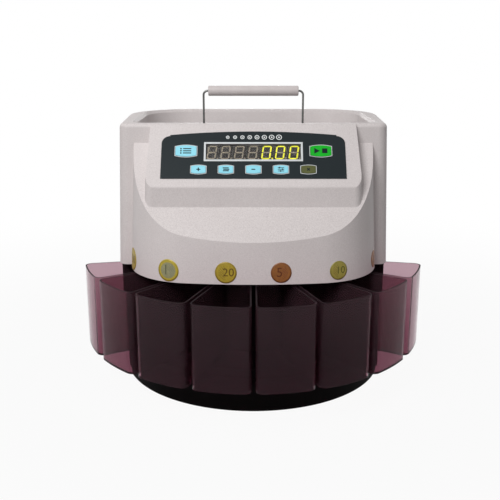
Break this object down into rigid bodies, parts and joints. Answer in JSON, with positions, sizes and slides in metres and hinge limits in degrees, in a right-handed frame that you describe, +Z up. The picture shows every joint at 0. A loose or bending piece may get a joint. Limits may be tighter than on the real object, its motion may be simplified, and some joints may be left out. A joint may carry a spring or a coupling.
{
  "type": "coin counting machine",
  "caption": "Shop counter coin sorter: open hopper tower, rounded drum with sloping keypad and display, pull-up wire handle and a fan of translucent slide-out coin bins on a round black base.",
  "frame": {"origin": "centre of the whole part's footprint, on the table", "axes": "+X to the right as seen from the front, +Y to the back, +Z up"},
  "size_m": [0.3434, 0.3204, 0.3006],
  "materials": {
    "pale_housing": "fine texture, satin",
    "black_housing": "fine texture, satin",
    "bin_plastic": "translucent plum",
    "overlay": "satin black film",
    "lens": "smoked clear",
    "digits": "dark resin",
    "bright_trim": "bright",
    "blue_keys": "satin",
    "green_key": "satin",
    "olive_key": "satin",
    "steel": "brushed",
    "machined": "turned",
    "wire": "dark plated",
    "grip": "satin",
    "board": "coated board",
    "disc_plastic": "satin",
    "gear_plastic": "satin",
    "pinion_brass": "cut",
    "rubber": "matt",
    "label": "printed film",
    "iron": "painted core"
  },
  "bodies": {
    "housing": {"tower_housing": "pale_housing", "front_cover": "pale_housing", "hopper_collar": "pale_housing", "hopper_funnel": "pale_housing", "lower_housing": "black_housing", "base_plate": "black_housing", "rubber_feet": "rubber", "base_screws": "steel", "panel_overlay": "overlay", "display_frame": "grip", "display_lens": "lens", "led_digits": "digits", "key_bezels": "bright_trim", "key_switches": "black_housing", "display_board": "board", "board_posts": "pale_housing", "coin_labels": "label", "sort_plate": "steel", "plate_screws": "steel", "coin_fence": "black_housing", "coin_sensors": "black_housing", "spindle_housing": "machined", "spindle_bearings": "steel", "drive_motor": "iron", "motor_bracket": "steel", "main_board": "board", "main_posts": "black_housing", "transformer": "iron", "power_inlet": "black_housing", "inlet_pins": "steel", "switch_frame": "black_housing"},
    "coin_bin_1": {"coin_bin_1": "bin_plastic"},
    "coin_bin_2": {"coin_bin_2": "bin_plastic"},
    "coin_bin_3": {"coin_bin_3": "bin_plastic"},
    "coin_bin_4": {"coin_bin_4": "bin_plastic"},
    "coin_bin_5": {"coin_bin_5": "bin_plastic"},
    "coin_bin_6": {"coin_bin_6": "bin_plastic"},
    "coin_bin_7": {"coin_bin_7": "bin_plastic"},
    "coin_bin_8": {"coin_bin_8": "bin_plastic"},
    "key_report": {"key_report": "blue_keys"},
    "key_start": {"key_start": "green_key"},
    "key_plus": {"key_plus": "blue_keys"},
    "key_batch": {"key_batch": "blue_keys"},
    "key_minus": {"key_minus": "blue_keys"},
    "key_set": {"key_set": "blue_keys"},
    "key_clear": {"key_clear": "olive_key"},
    "handle": {"handle_wire": "wire", "handle_grip": "grip", "handle_clips": "steel"},
    "feed_group": {"feed_disc": "disc_plastic", "disc_cap": "black_housing", "disc_spindle": "steel", "drive_gear": "gear_plastic"},
    "pinion": {"motor_pinion": "pinion_brass"},
    "rocker": {"switch_rocker": "black_housing"}
  },
  "joints": [
    {"name": "coin_bin_1_slide", "type": "slide", "parent": "housing", "child": "coin_bin_1", "axis": [-0.9288, -0.3706, 0], "range_m": [0, 0.095]},
    {"name": "coin_bin_2_slide", "type": "slide", "parent": "housing", "child": "coin_bin_2", "axis": [-0.7518, -0.6593, 0], "range_m": [0, 0.095]},
    {"name": "coin_bin_3_slide", "type": "slide", "parent": "housing", "child": "coin_bin_3", "axis": [-0.4886, -0.8725, 0], "range_m": [0, 0.095]},
    {"name": "coin_bin_4_slide", "type": "slide", "parent": "housing", "child": "coin_bin_4", "axis": [-0.1693, -0.9856, 0], "range_m": [0, 0.095]},
    {"name": "coin_bin_5_slide", "type": "slide", "parent": "housing", "child": "coin_bin_5", "axis": [0.1693, -0.9856, 0], "range_m": [0, 0.095]},
    {"name": "coin_bin_6_slide", "type": "slide", "parent": "housing", "child": "coin_bin_6", "axis": [0.4886, -0.8725, 0], "range_m": [0, 0.095]},
    {"name": "coin_bin_7_slide", "type": "slide", "parent": "housing", "child": "coin_bin_7", "axis": [0.7518, -0.6593, 0], "range_m": [0, 0.095]},
    {"name": "coin_bin_8_slide", "type": "slide", "parent": "housing", "child": "coin_bin_8", "axis": [0.9288, -0.3706, 0], "range_m": [0, 0.095]},
    {"name": "key_report_press", "type": "slide", "parent": "housing", "child": "key_report", "axis": [0, 0.8141, -0.5807], "range_m": [0, 0.0007], "stiffness_N_per_m": 900, "springref_m": -0.0006},
    {"name": "key_start_press", "type": "slide", "parent": "housing", "child": "key_start", "axis": [0, 0.8141, -0.5807], "range_m": [0, 0.0007], "stiffness_N_per_m": 900, "springref_m": -0.0006},
    {"name": "key_plus_press", "type": "slide", "parent": "housing", "child": "key_plus", "axis": [0, 0.8141, -0.5807], "range_m": [0, 0.0007], "stiffness_N_per_m": 900, "springref_m": -0.0006},
    {"name": "key_batch_press", "type": "slide", "parent": "housing", "child": "key_batch", "axis": [0, 0.8141, -0.5807], "range_m": [0, 0.0007], "stiffness_N_per_m": 900, "springref_m": -0.0006},
    {"name": "key_minus_press", "type": "slide", "parent": "housing", "child": "key_minus", "axis": [0, 0.8141, -0.5807], "range_m": [0, 0.0007], "stiffness_N_per_m": 900, "springref_m": -0.0006},
    {"name": "key_set_press", "type": "slide", "parent": "housing", "child": "key_set", "axis": [0, 0.8141, -0.5807], "range_m": [0, 0.0007], "stiffness_N_per_m": 900, "springref_m": -0.0006},
    {"name": "key_clear_press", "type": "slide", "parent": "housing", "child": "key_clear", "axis": [0, 0.8141, -0.5807], "range_m": [0, 0.0007], "stiffness_N_per_m": 900, "springref_m": -0.0006},
    {"name": "handle_lift", "type": "slide", "parent": "housing", "child": "handle", "axis": [0, 0, 1], "range_m": [-0.0259, 0]},
    {"name": "disc_spin", "type": "hinge", "parent": "housing", "child": "feed_group", "pos_m": [0, 0.01704, 0.13], "axis": [0, 0, 1], "continuous": true},
    {"name": "pinion_spin", "type": "hinge", "parent": "housing", "child": "pinion", "pos_m": [0, 0.07704, 0.075], "axis": [0, 0, 1], "continuous": true},
    {"name": "rocker_tip", "type": "hinge", "parent": "housing", "child": "rocker", "pos_m": [0.038, 0.14604, 0.062], "axis": [1, 0, 0], "range_deg": [0, 16]}
  ],
  "couplings": [
    {"joint": "pinion_spin", "follows": "disc_spin", "ratio": -3}
  ]
}
